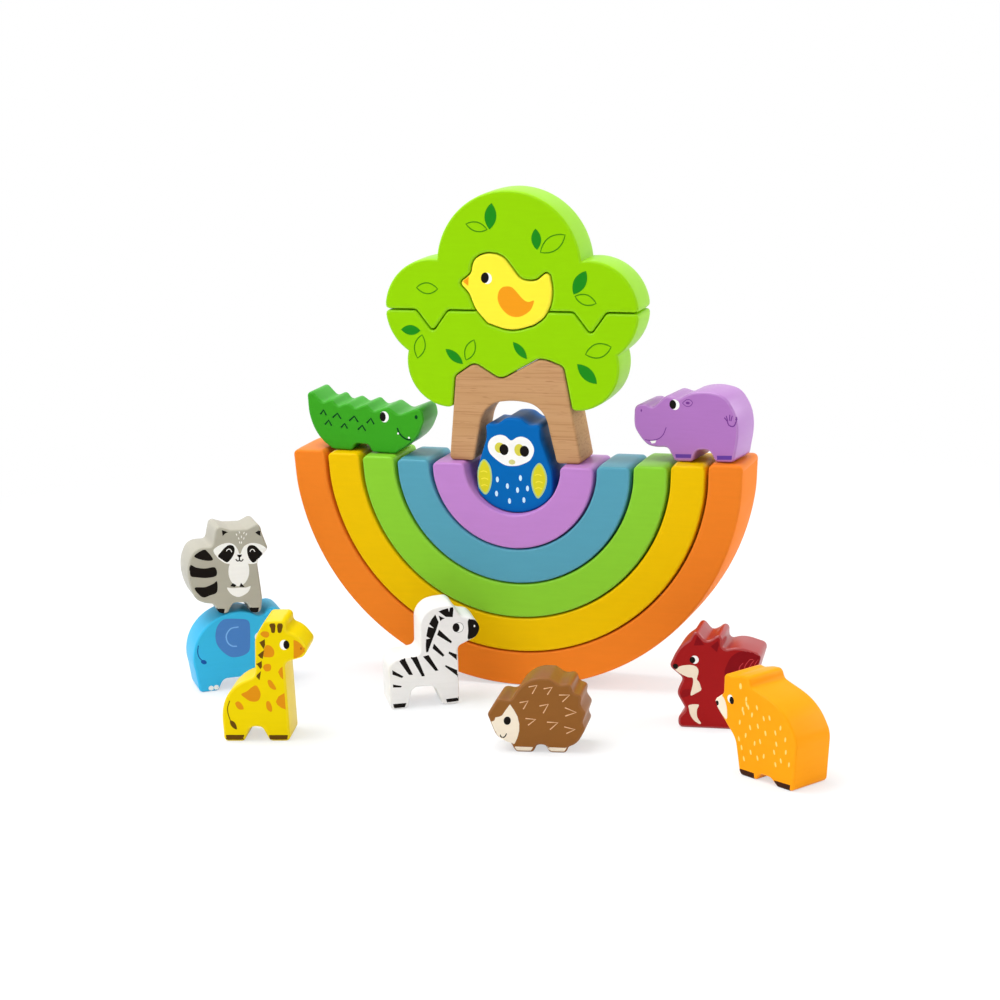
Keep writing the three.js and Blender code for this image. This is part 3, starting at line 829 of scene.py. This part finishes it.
crocodile = painted("crocodile", "crocodile", [
    ("white", oval(46, 20.8, 5.4, 6.3)),
    ("black", oval(45.1, 20.8, 3.6, 5.3)),
    ("crocodile ink", oval(65, 21.2, 1.8, 2.3)),
    ("crocodile ink", stroke(0.95, (53.6, 14.4), (54.3, 12.4), (56.1, 10.1), (58.7, 8.5), (61.1, 8.2))),
    *each("white", oval, [(53.8, 11.6, 1.1, 1.3), (60.2, 9.4, 1.2, 1.1)]),
])
spread_marks("crocodile_scales", "crocodile", crocodile, TICK, [
    (9.3, 22.1, 0, 3.5, 3), (12, 16.3, 0, 4, 3.1), (17.4, 20.4, 0, 5, 3.1), (21.6, 14.8, 0, 3.9, 2.9),
    (27.5, 19, 0, 5.3, 3.3), (32.1, 14, 0, 4.6, 3.1), (37.5, 18, 0, 4.3, 3.3),
], "crocodile ink", line=1)

painted("hippo", "hippo", gloss=THICK_GLOSS, prints=[
    ("white", oval(24.3, 31.1, 5.4, 5.8)),
    ("black", oval(23.1, 31.1, 3.9, 5)),
    ("violet", stroke(0.4, (28.8, 32.3), (31, 34.1), (33.3, 34.1), (34.5, 32.6), (33.2, 30.9),
                      (30.9, 30.6), (28.9, 32))),
    *each("violet", oval, [(31.8, 32.4, 2.4, 1.5), (4.6, 26.8, 0.9, 1.6)]),
    ("violet", stroke(0.5, (6.6, 10.8), (10.3, 10.7), (14.4, 11.9), (17.1, 14.3), (18.9, 18.2))),
    ("white", patch((9.3, 10.3), (13, 10.8), (12.3, 9.4), (10.3, 8.9))),
    *each("violet", stroke, [
        (0.7, (59.4, 30.8), (59.7, 28.1), (59.3, 25), (58.6, 22.1), (57, 21.1), (55, 21.9), (54.3, 23.7),
         (52.8, 25.5)),
        (0.6, (53.8, 26.5), (54.5, 24.1)),
        (0.6, (55.8, 27.2), (55.6, 24.4)),
        (0.6, (57.1, 26.7), (56.4, 24.2)),
    ]),
    *each("indigo", patch, [
        ((23.9, 4), (33.3, 4.5), (32.9, 2.4), (24.2, 2)),
        ((47.9, 4.7), (56.6, 5.2), (56.4, 3), (48.1, 2.5)),
    ]),
])


# Animals on the table, and the raccoon on the elephant

raccoon = painted("raccoon", "raccoon", [
    *each("black", blob, [
        ((4.1, 36.1), (9.3, 39.3), (11.4, 38.4), (14.5, 33.2), (10, 33.1)),
        ((1.6, 31.3), (4.9, 29.7), (9.7, 28.6), (15.3, 28.6), (15.9, 23.9), (10.5, 23.1), (5.1, 24),
         (1.4, 25.4)),
        ((3.5, 18.3), (9.1, 18), (13.6, 19.3), (16, 20.4), (15.6, 14.4), (11.6, 12.9), (7.6, 12.2),
         (4.4, 15.4)),
    ]),
    *each("black", patch, [
        ((20.4, 49.4), (22.2, 48.7), (23.8, 47.8), (22.1, 47.2), (20.7, 45.9)),
        ((39.1, 46), (40.7, 46.9), (42.2, 47.2), (42, 43.8), (40.6, 44.6)),
    ]),
    *each("white", blob, [
        ((15, 38), (16.6, 39.9), (20.1, 41.4), (24, 41.7), (27, 40.2), (29, 36.5), (29.1, 32.5),
         (26.1, 30), (21.6, 30.2), (17.3, 33.8)),
        ((30.3, 33), (30.8, 36.4), (32.9, 39.3), (36.9, 40.3), (41.4, 39.1), (44.7, 36.6), (45.3, 34.8),
         (42.1, 31.1), (38, 28.4), (32.9, 29.2)),
    ]),
    *each("white", oval, [(29.5, 32.2, 6, 5.6), (28.6, 25.1, 11.8, 17.4, -3)]),
    *each("black", blob, [
        ((17.4, 34.8), (19.2, 37), (21.6, 39.3), (23.9, 40.5), (26.2, 39.8), (27, 37.6), (26.1, 34.6),
         (24, 31.9), (22, 30.8), (19.5, 32.7)),
        ((33.9, 36.6), (34.9, 38.7), (36.9, 39.1), (39.1, 38), (40.9, 35.8), (42.5, 33.3), (40.4, 31.3),
         (37.4, 29), (35.5, 30.4), (34.3, 33.1)),
    ]),
    *each("white", stroke, [
        (0.45, (22.4, 37.3), (23, 38), (24, 38.2), (24.8, 37.5), (25.2, 36.4)),
        (0.45, (35.6, 35.6), (36.1, 36.4), (36.9, 36.7), (37.7, 36.2), (38.2, 35.3)),
    ]),
    ("black", patch((28.1, 34.5), (30.9, 34.3), (30.5, 33.3), (29.4, 32.5), (28.4, 33.5))),
    *each("black", stroke, [
        (0.7, (29.4, 33), (29.3, 31)),
        (0.7, (27.4, 31.8), (28.2, 30.9), (29.3, 31), (30.4, 30.6), (31.3, 31.4)),
    ]),
    ("white", blob((21.4, 16.2), (24.2, 15.7), (28.1, 15.5), (32.1, 15.2), (34.7, 15.6), (32.8, 12.2),
                   (27.8, 10.2), (23.4, 12.4))),
    *each("black", patch, [
        ((23.2, 16.9), (24.8, 18.6), (26.7, 17.1), (25.8, 16.1)),
        ((28.3, 16), (29.4, 18.2), (31.4, 15.5)),
        ((14.6, 5), (19.4, 4.3), (18.9, 1.6), (15, 2.1)),
        ((33.4, 3.3), (38.8, 2.9), (38.1, 0), (33.9, 0)),
    ]),
])
HAIR_SIZE = (0.5, 1.5)
spread_marks("raccoon_flecks", "raccoon", raccoon, DROP, [(x, y, turn, *HAIR_SIZE) for x, y, turn in (
    (28.5, 46, 20), (30.2, 47.1, 14), (32.7, 46.5, -30), (34, 45.6, -24), (29.6, 43.7, 16), (31.2, 44.4, 4),
    (32.5, 43.4, -18), (30, 41.3, 10), (31, 41.2, -8),
)], "white")

painted("elephant", "elephant", gloss=THIN_GLOSS, prints=[
    ("elephant ear", blob((17.3, 40.4), (20.8, 41), (27.5, 40.2), (30.9, 39.4), (32.8, 37.2),
                          (32.8, 30.2), (32.2, 22.7), (30.6, 19.9), (26.3, 18.4), (21.2, 18.7),
                          (16.8, 22.2), (13.7, 26.9), (13.1, 31.9), (14.3, 37))),
    ("ear fold", stroke(0.7, (26.2, 35.6), (22, 35.1), (19.3, 31.6), (19.7, 27.6), (22, 25.1),
                        (24.6, 24.6))),
    ("deep blue", stroke(0.6, (3.1, 27.3), (2.6, 23.9), (3.1, 20.9), (4.7, 18.7))),
    ("deep blue", oval(5.7, 17.6, 3.4, 2.4, -30)),
    *each("white", oval, [(8.9, 2, 2.9, 2.8), (11.9, 2.1, 2.9, 2.8), (37.5, 28.6, 4.4, 5)]),
    ("black", oval(38.1, 28.4, 2.6, 3.8)),
])

painted("giraffe", "giraffe", [
    *each("dark brown", blob, [
        ((27.7, 63.3), (28.7, 64.3), (30.2, 64.4), (30.9, 63.2), (30.8, 61.9), (30.3, 59.4),
         (28.7, 59.3), (28.3, 61.5)),
        ((31.8, 63.2), (32.6, 64.3), (34.1, 64.3), (34.8, 63.2), (34.5, 61.7), (33.6, 59.3),
         (32.1, 59.3), (31.8, 61.7)),
    ]),
    *each("giraffe spot", blob, [
        ((22.8, 58.6), (24.2, 60), (26.8, 59.7), (27.4, 58), (26.1, 56.6), (24, 57.1)),
        ((24, 49.9), (25.3, 52.4), (27.4, 52.3), (29.2, 50.4), (29.5, 48), (28.2, 46.1), (25, 46),
         (23.6, 46.7)),
        ((23.1, 40.4), (24.2, 42.1), (26.6, 42.3), (27.4, 40.7), (26.8, 38.8), (24.5, 38.3)),
        ((25.1, 33.1), (26.7, 33.5), (28.4, 31.2), (29.4, 28.7), (28, 28.3), (25.8, 30)),
        ((10.7, 25.9), (13.9, 27.6), (16.6, 29.8), (18.8, 30.7), (20.3, 28.7), (21, 25.7), (20, 22.9),
         (18, 21.8), (15.1, 22.1), (12.6, 23.8)),
        ((7.2, 21.1), (9, 22), (10.8, 20.3), (11.5, 17.8), (9.3, 17.5), (7.8, 18.9)),
        ((23.7, 21.3), (25, 22.1), (26.3, 20.2), (26.7, 17.2), (25.7, 16.2), (23.8, 18)),
    ]),
    *each("giraffe spot", patch, [
        ((30.9, 37.9), (32, 39.9), (33.6, 41), (33.4, 33.7), (32, 35.2)),
        ((28.8, 21.8), (30.4, 24.6), (33.7, 26.5), (34, 17.3), (31.4, 18.4), (29.6, 20)),
    ]),
    *each("dark brown", patch, [
        ((21.9, 54.1), (24.9, 55.8), (24.9, 52.6), (23.9, 50.4)),
        ((20.7, 47.2), (22.8, 48.9), (24.2, 49.8), (23.2, 45.2), (22, 45.6)),
        ((19.8, 42.3), (22.6, 44.1), (22.6, 40.7), (21.7, 39.5)),
        ((19, 35.8), (22, 38.6), (20.8, 33.5), (20.1, 34.4)),
    ]),
    ("dark brown", stroke(0.5, (4.3, 22.2), (3.1, 18.9), (3, 15.6), (4, 11.6))),
    ("dark brown", blob((4, 11.6), (5.9, 10.8), (7, 9), (7.2, 6.6), (5.2, 7.5), (3.9, 9.6))),
    *each("dark brown", patch, [
        ((1, 3.6), (11, 3.6), (10.4, 1), (1.3, 1)),
        ((24.3, 3.4), (34.2, 3.4), (33.9, 0.9), (24.5, 1)),
    ]),
    ("white", oval(34.9, 52.6, 4.6, 5.4)),
    ("black", oval(36.1, 52.7, 3.2, 4.7)),
    ("giraffe spot", patch((40, 55.3), (41.8, 54.7), (43.8, 53), (45.6, 50.6), (45.5, 49), (43.5, 46.8),
                           (41.3, 45.5), (39.5, 45.2))),
    ("tan", oval(43.7, 50.6, 1, 1.4)),
])

painted("zebra", "zebra", gloss=THIN_GLOSS, prints=[
    *each("black", patch, [
        ((26.8, 51.6), (28.5, 47.1), (27, 42.9), (25.3, 39.1), (23.8, 35.5), (22, 30.9), (20.9, 30.7),
         (20.9, 34.9), (21.2, 38.1), (23.5, 38.4), (21.4, 39.8), (22.1, 43), (22.7, 45.1), (25.7, 44),
         (23.2, 46.5), (24.6, 49)),
        ((28.6, 53.1), (31.1, 54), (33.9, 54.5), (34.4, 52.3), (35, 54.8), (37, 54.7), (36.3, 49.3),
         (32.6, 49.7)),
        ((28.6, 50.9), (30.1, 49.9), (32, 49), (30.4, 48.5), (29.4, 47.5)),
        ((28.5, 43), (27.3, 40), (34.8, 34.6), (35.3, 35.7)),
        ((25.4, 35.4), (24.5, 32.7), (30.1, 27.4), (30.9, 28.4)),
        ((33.5, 30.2), (37.6, 28.2), (37.5, 25.1), (33.2, 29.1)),
        ((31.3, 22.7), (37.6, 19.2), (37.8, 15.7), (30.9, 21.9)),
        ((5.9, 27.2), (9, 28.4), (13.2, 18.7), (11, 18.9)),
        ((12.5, 28.6), (15.8, 28.9), (19.7, 17.5), (18.1, 17.4)),
        ((19.1, 28.6), (22.2, 29.2), (27.3, 20), (25.6, 19.8)),
        ((2, 22.4), (8, 18.3), (7.1, 17.5), (2, 19.9)),
        ((2, 14.3), (6.9, 13), (6.3, 12.2), (2, 12.6)),
        ((1.6, 3.2), (9, 3.2), (8, 1), (2, 1)),
        ((30.8, 3.4), (37.7, 3.7), (37.6, 1.7), (31.2, 1.4)),
    ]),
    ("grey", oval(39.3, 43.2, 5.6, 5.8)),
    ("white", oval(39.3, 43.2, 5, 5.2)),
    ("black", oval(37.9, 43.3, 3.8, 5)),
    ("black", blob((44.6, 46.8), (47.4, 47), (50.4, 45.2), (51.7, 41.9), (50.3, 38.7), (47.2, 36.7),
                   (44.1, 36.2), (44.5, 41))),
    ("white", oval(48, 43.3, 0.9, 1.3)),
])

hedgehog = painted("hedgehog", "hedgehog", [
    ("cream", patch((11.9, 25.5), (13.9, 22.5), (15.6, 19.1), (16.4, 15.1), (16.2, 11.3), (15.1, 7.5),
                    (13.6, 4.4), (11, 4.5), (8.9, 5.3), (6.3, 7), (4.4, 9.6), (2.8, 12.8), (1.8, 15.9),
                    (3.4, 16.6), (4.1, 18.3), (6, 18.7), (7.6, 19.5), (9.5, 22.3))),
    ("black", oval(10.2, 16.7, 3.7, 4.5, -15)),
    ("black", stroke(0.6, (6.3, 8.9), (6.7, 8), (7.7, 7.6), (8.8, 8.3), (9.5, 9.6))),
    *each("cream", patch, [
        ((13.2, 2.9), (23.1, 2.8), (22.4, 1.2), (21.2, 0.8), (15.5, 0.7), (14.2, 1.3)),
        ((30.5, 3), (40.4, 2.8), (39.7, 1.2), (38.6, 0.7), (33, 0.8), (31.5, 1.5)),
    ]),
])
spread_marks("hedgehog_spines", "hedgehog", hedgehog, SPINE, [
    (24.1, 33.7, 0, 4.4, 4.6), (31.9, 33.1, 0, 4.4, 4), (40, 29.5, -8, 5.4, 4.2), (19.2, 25.3, 0, 4.4, 4.4),
    (29.5, 23.6, 0, 4.6, 4.8), (42.2, 21.6, -32, 6.2, 4.8), (22, 16.4, -14, 5.2, 4),
    (33.3, 14.6, -12, 5.6, 4.6), (41.9, 12.1, -22, 5.6, 3.8),
], "hedgehog tick", line=0.6)

painted("squirrel", "squirrel", gloss=THICK_GLOSS, prints=[
    *each("dark red", patch, [
        ((14.5, 50.3), (12.8, 44.9), (18.3, 45.4), (16.6, 48)),
        ((21.6, 44.8), (25.5, 48), (26.1, 45.8), (24.9, 41.8)),
    ]),
    ("dark red", blob((28.7, 31), (30.2, 35.7), (32.2, 39.4), (34.9, 41.6), (38, 42.8), (42.2, 42.5),
                      (45.9, 41.2), (48.2, 39.4), (46.8, 36.3), (43.7, 33), (36.8, 27.3), (30.5, 25.9))),
    *each("soft red", stroke, [
        (0.4, (36.2, 30.4), (36.4, 32.6), (36.9, 34.6), (38.5, 36.4)),
        (0.4, (38.6, 31.6), (39.2, 34), (40.2, 36.1), (42.1, 38.4), (43.7, 38.6)),
        (0.4, (41, 32), (41.6, 34), (42.8, 36.2), (44.2, 38)),
        (0.4, (43.8, 33.4), (44.3, 34.9), (45.2, 36.9), (46.3, 38.3)),
    ]),
    ("red shade", blob((5.5, 16.6), (6.6, 20.5), (10.3, 21), (10.3, 18.5), (8.1, 16.8))),
    ("white", oval(13.1, 37.3, 4.3, 4.5)),
    ("black", oval(11.9, 37.1, 3, 3.5)),
    ("cream", blob((3.7, 32.4), (5.8, 33.6), (9.5, 34.3), (12.7, 34.1), (14.5, 32.8), (15, 30.7),
                   (14.4, 28.2), (14.1, 26.6), (15.2, 25.3), (15.9, 23.1), (16.2, 20.9), (13.2, 18.9),
                   (11.1, 17.7), (10.6, 18.5), (11.4, 21.8), (12, 24.6), (11.8, 27.3), (9.4, 27.7),
                   (5.7, 29.2), (3.1, 31))),
    ("black", oval(2.9, 33.3, 2.9, 2.9)),
    ("cream", blob((9.7, 12.4), (14.7, 12.9), (13.8, 9.9), (13.8, 6.6), (14.6, 4.7), (15.8, 2.9),
                   (15, 2.3), (12.2, 4.1), (10.3, 7), (9.6, 10.2))),
])

bear = painted("bear", "bear", gloss=THIN_GLOSS, prints=[
    ("cream", blob((3.6, 39.1), (6.4, 37.6), (8.1, 34.6), (8.7, 31.2), (8.3, 26.9), (5.1, 28.5),
                   (1.6, 31.4), (-0.5, 33.8), (-0.3, 35.6))),
    ("black", oval(1.7, 33.8, 2.4, 2.6, -15)),
    ("white", oval(11.2, 38, 4, 4.2)),
    ("black", oval(12.2, 37.4, 3.1, 3.9)),
    *each("bear brown", patch, [
        ((16.2, 3.3), (27.1, 3.3), (27.3, 0), (16.9, 0)),
        ((41, 3.1), (52, 3.3), (51.6, 0), (41.6, 0)),
    ]),
])
FLECK_SIZE = (1.05, 2.6)
FLECK_TURNS = (-8, 14, 14)
FLECKS = [
    (22.4, 40.3), (22.6, 37.8), (23.8, 36.5), (19.8, 34.6), (20.4, 32.9), (29.8, 37.6), (26.3, 33.1),
    (34.4, 33.1), (38.4, 34.3), (17.7, 27.4), (24.9, 26.3), (30.3, 28.2), (21.7, 21.6), (35.5, 25.8),
    (42.3, 27.6), (45.8, 30.9), (16.9, 18.6), (18.7, 14.6), (27.9, 18.9), (31.7, 20.7), (42.9, 22),
    (49, 25.7), (25, 13.6), (41.3, 17.5), (49.3, 19.4), (20.2, 9.1), (29.7, 11.7), (34.1, 13.7),
    (45.8, 14.2), (42.1, 11.4), (51.3, 13.5),
]
forehead = (18.6, 46.1, 0, *DROP_SIZE)
fur = [(x, y, FLECK_TURNS[index % len(FLECK_TURNS)], *FLECK_SIZE) for index, (x, y) in enumerate(FLECKS)]
spread_marks("bear_flecks", "bear", bear, DROP, [forehead, *fur], "bear fleck")


# Table, light and camera

# Reach of the table, distances over which its shadows fade into white, in m, and its glow at either end
TABLE_REACH = 30
FADE_REACH = (0.25, 0.7)
FADE_GLOW = (0.58, 1)
TABLE_COLOUR = (0.9, 0.93, 0.96, 1)
TABLE_ROUGHNESS = 0.7

# Light from all round, and soft boxes: place, aim and size in m, power in W
ROOM_GLOW = 0.6
SOFT_BOXES = {
    "top light": ((-0.5, -0.05, 1.42), (0, 0, 0.05), (1.1, 1.1), 20),
    "side light": ((1.5, 0.9, 0.8), (0, 0, 0.12), (1.2, 1.0), 15),
    "front light": ((-0.9, -1.6, 1.0), (0, 0, 0.12), (1.2, 1.0), 6),
}

# Camera: place in mm from the foot of the rocker's front, directions, lens and sensor in mm, reach in m
CAMERA_PLACE = (445.16, -1287.82, 420.99)
CAMERA_AHEAD = (-0.32301, 0.91926, -0.22498)
CAMERA_UP = (-0.04097, 0.22392, 0.97375)
CAMERA_LENS = 91.85
CAMERA_SENSOR = 36
CAMERA_REACH = 200


def table_top():
    mesh = bpy.data.meshes.new("table")
    corners = [(x * TABLE_REACH, y * TABLE_REACH, 0) for x, y in ((-1, -1), (1, -1), (1, 1), (-1, 1))]
    mesh.from_pydata(corners, [], [(0, 1, 2, 3)])
    table = placed("table", mesh)
    material, tree, top = new_material("white table")
    top.inputs["Base Color"].default_value = TABLE_COLOUR
    top.inputs["Roughness"].default_value = TABLE_ROUGHNESS
    glow = node(tree, "ShaderNodeEmission", Strength=1.0)
    rays = tree.nodes.new("ShaderNodeLightPath").outputs
    direct = either(tree, rays["Is Camera Ray"], rays["Is Glossy Ray"])
    seen = either(tree, direct, rays["Is Transmission Ray"])
    place = tree.nodes.new("ShaderNodeTexCoord")
    away = node(tree, "ShaderNodeVectorMath", operation="LENGTH")
    share = node(tree, "ShaderNodeMath", operation="MULTIPLY")
    mix = tree.nodes.new("ShaderNodeMixShader")
    link = tree.links.new
    link(place.outputs["Object"], away.inputs[0])
    link(levels(tree, away.outputs["Value"], *FADE_GLOW, *FADE_REACH, "SMOOTHSTEP"), share.inputs[0])
    link(seen, share.inputs[1])
    link(share.outputs[0], mix.inputs["Fac"])
    link(top.outputs[0], mix.inputs[1])
    link(glow.outputs[0], mix.inputs[2])
    link(mix.outputs[0], tree.nodes["Material Output"].inputs["Surface"])
    mesh.materials.append(material)


def soft_box(name, place, target, size, power):
    lamp = bpy.data.lights.new(name, "AREA")
    lamp.shape = "RECTANGLE"
    lamp.size, lamp.size_y = size
    lamp.energy = power
    box = placed(name, lamp)
    box.location = place
    box.rotation_euler = (Vector(target) - Vector(place)).to_track_quat("-Z", "Y").to_euler()


def room_light():
    """White where the camera or a reflection sees the room, dimmer as light."""
    world = bpy.data.worlds.new("white room")
    world.use_nodes = True
    tree = world.node_tree
    sky = tree.nodes["Background"]
    sky.inputs["Color"].default_value = (1, 1, 1, 1)
    rays = tree.nodes.new("ShaderNodeLightPath").outputs
    seen = either(tree, rays["Is Camera Ray"], rays["Is Glossy Ray"])
    tree.links.new(levels(tree, seen, ROOM_GLOW, 1, 0, 1), sky.inputs["Strength"])
    bpy.context.scene.world = world
    for name, (place, target, size, power) in SOFT_BOXES.items():
        soft_box(name, place, target, size, power)


def photo_camera():
    low, high = (Vector(corner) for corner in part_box("orange_arc"))
    rocker = Vector(((low.x + high.x) / 2, low.y, 0))
    ahead = Vector(CAMERA_AHEAD).normalized()
    up = Vector(CAMERA_UP)
    up = (up - ahead * up.dot(ahead)).normalized()
    side = ahead.cross(up)
    lens_data = bpy.data.cameras.new("photo camera")
    lens_data.sensor_width = CAMERA_SENSOR
    lens_data.lens = CAMERA_LENS
    lens_data.clip_end = CAMERA_REACH
    camera = placed("photo camera", lens_data)
    turn = Matrix((side, up, -ahead)).transposed().to_4x4()
    camera.matrix_world = Matrix.Translation(rocker + Vector(CAMERA_PLACE) * MM) @ turn
    bpy.context.scene.camera = camera


table_top()
room_light()
photo_camera()
bpy.context.scene.view_settings.view_transform = "Standard"
